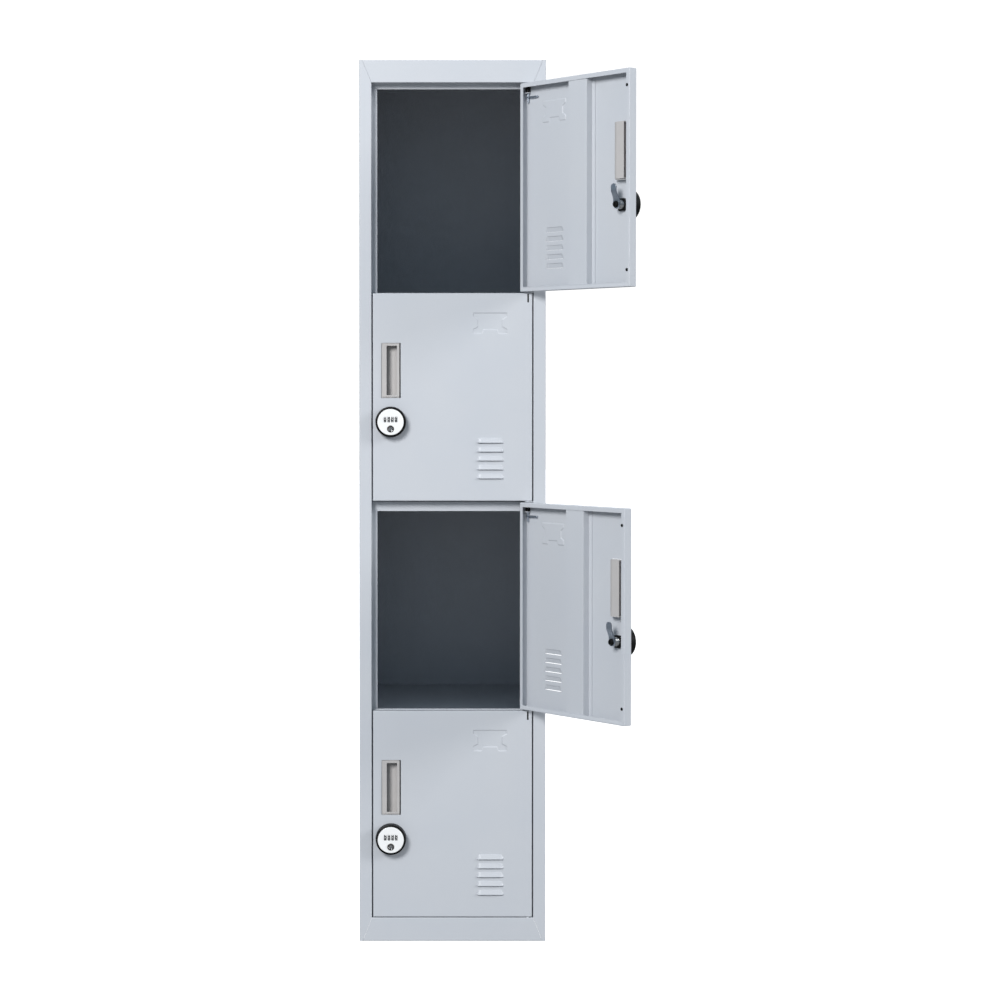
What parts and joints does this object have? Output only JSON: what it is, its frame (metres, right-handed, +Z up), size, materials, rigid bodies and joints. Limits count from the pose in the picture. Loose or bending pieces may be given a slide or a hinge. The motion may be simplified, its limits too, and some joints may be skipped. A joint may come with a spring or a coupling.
{
  "type": "locker cabinet",
  "caption": "Tall single-column steel locker with a stack of equal compartments, each behind a side-hung vented door with a recessed pull and a combination cam lock.",
  "frame": {"origin": "on the floor, at mid-width, in the plane of the front face", "axes": "+X to the viewer's right seen from the front, +Y from the front to the back, +Z up"},
  "size_m": [0.5558, 0.7076, 1.8],
  "materials": {
    "body_paint": "satin light grey powder coat",
    "pull_plastic": "fine-textured warm grey",
    "black_plastic": "satin black",
    "white_plastic": "satin white",
    "zinc_steel": "zinc plated",
    "chrome": "polished"
  },
  "bodies": {
    "cabinet": {"left_side_panel": "body_paint", "right_side_panel": "body_paint", "top_panel": "body_paint", "bottom_panel": "body_paint", "back_panel": "body_paint", "shelf_1": "body_paint", "shelf_2": "body_paint", "shelf_3": "body_paint"},
    "door_1": {"door_1_shell": "body_paint", "door_1_stiffener": "body_paint", "door_1_pull": "pull_plastic", "door_1_lock_housing": "black_plastic", "door_1_lock_nut": "black_plastic"},
    "lock_1": {"door_1_lock_knob": "white_plastic", "door_1_cam_lever": "zinc_steel"},
    "pin_1": {"door_1_pivot_pin": "zinc_steel"},
    "key_1": {"door_1_key_plug": "chrome"},
    "wheel_1_1": {"door_1_digit_wheel_1": "black_plastic"},
    "wheel_1_2": {"door_1_digit_wheel_2": "black_plastic"},
    "wheel_1_3": {"door_1_digit_wheel_3": "black_plastic"},
    "wheel_1_4": {"door_1_digit_wheel_4": "black_plastic"},
    "door_2": {"door_2_shell": "body_paint", "door_2_stiffener": "body_paint", "door_2_pull": "pull_plastic", "door_2_lock_housing": "black_plastic", "door_2_lock_nut": "black_plastic"},
    "lock_2": {"door_2_lock_knob": "white_plastic", "door_2_cam_lever": "zinc_steel"},
    "pin_2": {"door_2_pivot_pin": "zinc_steel"},
    "key_2": {"door_2_key_plug": "chrome"},
    "wheel_2_1": {"door_2_digit_wheel_1": "black_plastic"},
    "wheel_2_2": {"door_2_digit_wheel_2": "black_plastic"},
    "wheel_2_3": {"door_2_digit_wheel_3": "black_plastic"},
    "wheel_2_4": {"door_2_digit_wheel_4": "black_plastic"},
    "door_3": {"door_3_shell": "body_paint", "door_3_stiffener": "body_paint", "door_3_pull": "pull_plastic", "door_3_lock_housing": "black_plastic", "door_3_lock_nut": "black_plastic"},
    "lock_3": {"door_3_lock_knob": "white_plastic", "door_3_cam_lever": "zinc_steel"},
    "pin_3": {"door_3_pivot_pin": "zinc_steel"},
    "key_3": {"door_3_key_plug": "chrome"},
    "wheel_3_1": {"door_3_digit_wheel_1": "black_plastic"},
    "wheel_3_2": {"door_3_digit_wheel_2": "black_plastic"},
    "wheel_3_3": {"door_3_digit_wheel_3": "black_plastic"},
    "wheel_3_4": {"door_3_digit_wheel_4": "black_plastic"},
    "door_4": {"door_4_shell": "body_paint", "door_4_stiffener": "body_paint", "door_4_pull": "pull_plastic", "door_4_lock_housing": "black_plastic", "door_4_lock_nut": "black_plastic"},
    "lock_4": {"door_4_lock_knob": "white_plastic", "door_4_cam_lever": "zinc_steel"},
    "pin_4": {"door_4_pivot_pin": "zinc_steel"},
    "key_4": {"door_4_key_plug": "chrome"},
    "wheel_4_1": {"door_4_digit_wheel_1": "black_plastic"},
    "wheel_4_2": {"door_4_digit_wheel_2": "black_plastic"},
    "wheel_4_3": {"door_4_digit_wheel_3": "black_plastic"},
    "wheel_4_4": {"door_4_digit_wheel_4": "black_plastic"}
  },
  "joints": [
    {"name": "door_1_hinge", "type": "hinge", "parent": "cabinet", "child": "door_1", "pos_m": [0.154, 0.0045, 1.54075], "axis": [0, 0, 1], "range_deg": [-128.8, 1.2]},
    {"name": "door_2_hinge", "type": "hinge", "parent": "cabinet", "child": "door_2", "pos_m": [0.154, 0.0045, 1.11425], "axis": [0, 0, 1], "range_deg": [0, 130]},
    {"name": "door_3_hinge", "type": "hinge", "parent": "cabinet", "child": "door_3", "pos_m": [0.154, 0.0045, 0.68775], "axis": [0, 0, 1], "range_deg": [-126.8, 3.2]},
    {"name": "door_4_hinge", "type": "hinge", "parent": "cabinet", "child": "door_4", "pos_m": [0.154, 0.0045, 0.26125], "axis": [0, 0, 1], "range_deg": [0, 130]},
    {"name": "lock_1_turn", "type": "hinge", "parent": "door_1", "child": "lock_1", "pos_m": [0.33296, -0.21089, 1.49035], "axis": [0.7793, 0.6266, 0], "range_deg": [0, 90]},
    {"name": "lock_2_turn", "type": "hinge", "parent": "door_2", "child": "lock_2", "pos_m": [-0.126, 0, 1.06385], "axis": [0, -1, 0], "range_deg": [0, 90]},
    {"name": "lock_3_turn", "type": "hinge", "parent": "door_3", "child": "lock_3", "pos_m": [0.32533, -0.21701, 0.63735], "axis": [0.8007, 0.599, 0], "range_deg": [0, 90]},
    {"name": "lock_4_turn", "type": "hinge", "parent": "door_4", "child": "lock_4", "pos_m": [-0.126, 0, 0.21085], "axis": [0, -1, 0], "range_deg": [0, 90]},
    {"name": "pin_1_slide", "type": "slide", "parent": "door_1", "child": "pin_1", "axis": [0, 0, 1], "range_m": [-0.006, 0]},
    {"name": "pin_2_slide", "type": "slide", "parent": "door_2", "child": "pin_2", "axis": [0, 0, 1], "range_m": [-0.006, 0]},
    {"name": "pin_3_slide", "type": "slide", "parent": "door_3", "child": "pin_3", "axis": [0, 0, 1], "range_m": [-0.006, 0]},
    {"name": "pin_4_slide", "type": "slide", "parent": "door_4", "child": "pin_4", "axis": [0, 0, 1], "range_m": [-0.006, 0]},
    {"name": "key_1_turn", "type": "hinge", "parent": "lock_1", "child": "key_1", "pos_m": [0.34776, -0.19899, 1.47635], "axis": [0.7793, 0.6266, 0], "range_deg": [-90, 0]},
    {"name": "key_2_turn", "type": "hinge", "parent": "lock_2", "child": "key_2", "pos_m": [-0.126, -0.019, 1.04985], "axis": [0, -1, 0], "range_deg": [-90, 0]},
    {"name": "key_3_turn", "type": "hinge", "parent": "lock_3", "child": "key_3", "pos_m": [0.34054, -0.20563, 0.62335], "axis": [0.8007, 0.599, 0], "range_deg": [-90, 0]},
    {"name": "key_4_turn", "type": "hinge", "parent": "lock_4", "child": "key_4", "pos_m": [-0.126, -0.019, 0.19685], "axis": [0, -1, 0], "range_deg": [-90, 0]},
    {"name": "wheel_1_1_turn", "type": "hinge", "parent": "lock_1", "child": "wheel_1_1", "pos_m": [0.34998, -0.21164, 1.49535], "axis": [-0.6266, 0.7793, 0], "continuous": true},
    {"name": "wheel_1_2_turn", "type": "hinge", "parent": "lock_1", "child": "wheel_1_2", "pos_m": [0.34528, -0.2058, 1.49535], "axis": [-0.6266, 0.7793, 0], "continuous": true},
    {"name": "wheel_1_3_turn", "type": "hinge", "parent": "lock_1", "child": "wheel_1_3", "pos_m": [0.34058, -0.19995, 1.49535], "axis": [-0.6266, 0.7793, 0], "continuous": true},
    {"name": "wheel_1_4_turn", "type": "hinge", "parent": "lock_1", "child": "wheel_1_4", "pos_m": [0.33588, -0.19411, 1.49535], "axis": [-0.6266, 0.7793, 0], "continuous": true},
    {"name": "wheel_2_1_turn", "type": "hinge", "parent": "lock_2", "child": "wheel_2_1", "pos_m": [-0.13725, -0.0128, 1.06885], "axis": [1, 0, 0], "continuous": true},
    {"name": "wheel_2_2_turn", "type": "hinge", "parent": "lock_2", "child": "wheel_2_2", "pos_m": [-0.12975, -0.0128, 1.06885], "axis": [1, 0, 0], "continuous": true},
    {"name": "wheel_2_3_turn", "type": "hinge", "parent": "lock_2", "child": "wheel_2_3", "pos_m": [-0.12225, -0.0128, 1.06885], "axis": [1, 0, 0], "continuous": true},
    {"name": "wheel_2_4_turn", "type": "hinge", "parent": "lock_2", "child": "wheel_2_4", "pos_m": [-0.11475, -0.0128, 1.06885], "axis": [1, 0, 0], "continuous": true},
    {"name": "wheel_3_1_turn", "type": "hinge", "parent": "lock_3", "child": "wheel_3_1", "pos_m": [0.34232, -0.21835, 0.64235], "axis": [-0.599, 0.8007, 0], "continuous": true},
    {"name": "wheel_3_2_turn", "type": "hinge", "parent": "lock_3", "child": "wheel_3_2", "pos_m": [0.33783, -0.21234, 0.64235], "axis": [-0.599, 0.8007, 0], "continuous": true},
    {"name": "wheel_3_3_turn", "type": "hinge", "parent": "lock_3", "child": "wheel_3_3", "pos_m": [0.33333, -0.20634, 0.64235], "axis": [-0.599, 0.8007, 0], "continuous": true},
    {"name": "wheel_3_4_turn", "type": "hinge", "parent": "lock_3", "child": "wheel_3_4", "pos_m": [0.32884, -0.20033, 0.64235], "axis": [-0.599, 0.8007, 0], "continuous": true},
    {"name": "wheel_4_1_turn", "type": "hinge", "parent": "lock_4", "child": "wheel_4_1", "pos_m": [-0.13725, -0.0128, 0.21585], "axis": [1, 0, 0], "continuous": true},
    {"name": "wheel_4_2_turn", "type": "hinge", "parent": "lock_4", "child": "wheel_4_2", "pos_m": [-0.12975, -0.0128, 0.21585], "axis": [1, 0, 0], "continuous": true},
    {"name": "wheel_4_3_turn", "type": "hinge", "parent": "lock_4", "child": "wheel_4_3", "pos_m": [-0.12225, -0.0128, 0.21585], "axis": [1, 0, 0], "continuous": true},
    {"name": "wheel_4_4_turn", "type": "hinge", "parent": "lock_4", "child": "wheel_4_4", "pos_m": [-0.11475, -0.0128, 0.21585], "axis": [1, 0, 0], "continuous": true}
  ]
}
